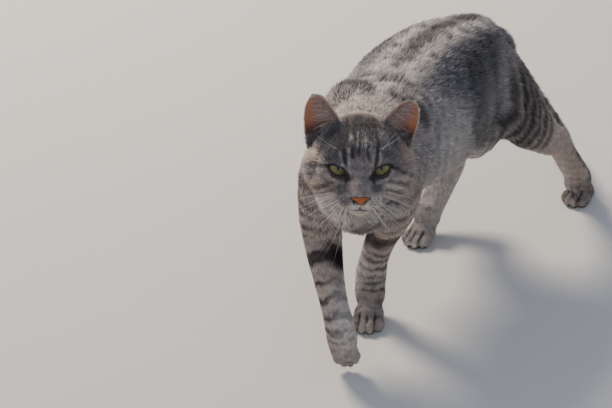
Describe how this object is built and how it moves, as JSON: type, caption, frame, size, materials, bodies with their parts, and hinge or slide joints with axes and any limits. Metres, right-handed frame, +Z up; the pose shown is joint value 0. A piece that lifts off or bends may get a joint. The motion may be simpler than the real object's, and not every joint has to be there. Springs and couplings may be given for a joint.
{
  "type": "cat",
  "caption": "Grey mackerel tabby cat walking, life size, head turned to its left and one forepaw lifted in its stride; a still display model.",
  "frame": {"origin": "middle of the cat's outline on the floor, seen from above", "axes": "+Z up; the cat walks towards -Y, so its tail is towards +Y; +X towards the cat's left"},
  "size_m": [0.1707, 0.5558, 0.291],
  "materials": {
    "coat": "short dense fur, grey with darker stripes",
    "pale_coat": "short fur, pale grey-beige",
    "ear_skin": "thin skin, thinly haired",
    "nose_leather": "damp, finely grained",
    "eye": "wet gloss"
  },
  "bodies": {
    "root": {"head": "coat", "neck": "coat", "trunk": "coat", "tail": "coat", "front_leg_left": "coat", "front_leg_right": "coat", "hind_leg_left": "coat", "hind_leg_right": "coat", "front_paw_left": "pale_coat", "front_paw_right": "pale_coat", "hind_paw_left": "pale_coat", "hind_paw_right": "pale_coat", "ear_left": "ear_skin", "ear_right": "ear_skin", "nose": "nose_leather", "eye_left": "eye", "eye_right": "eye"}
  },
  "joints": []
}
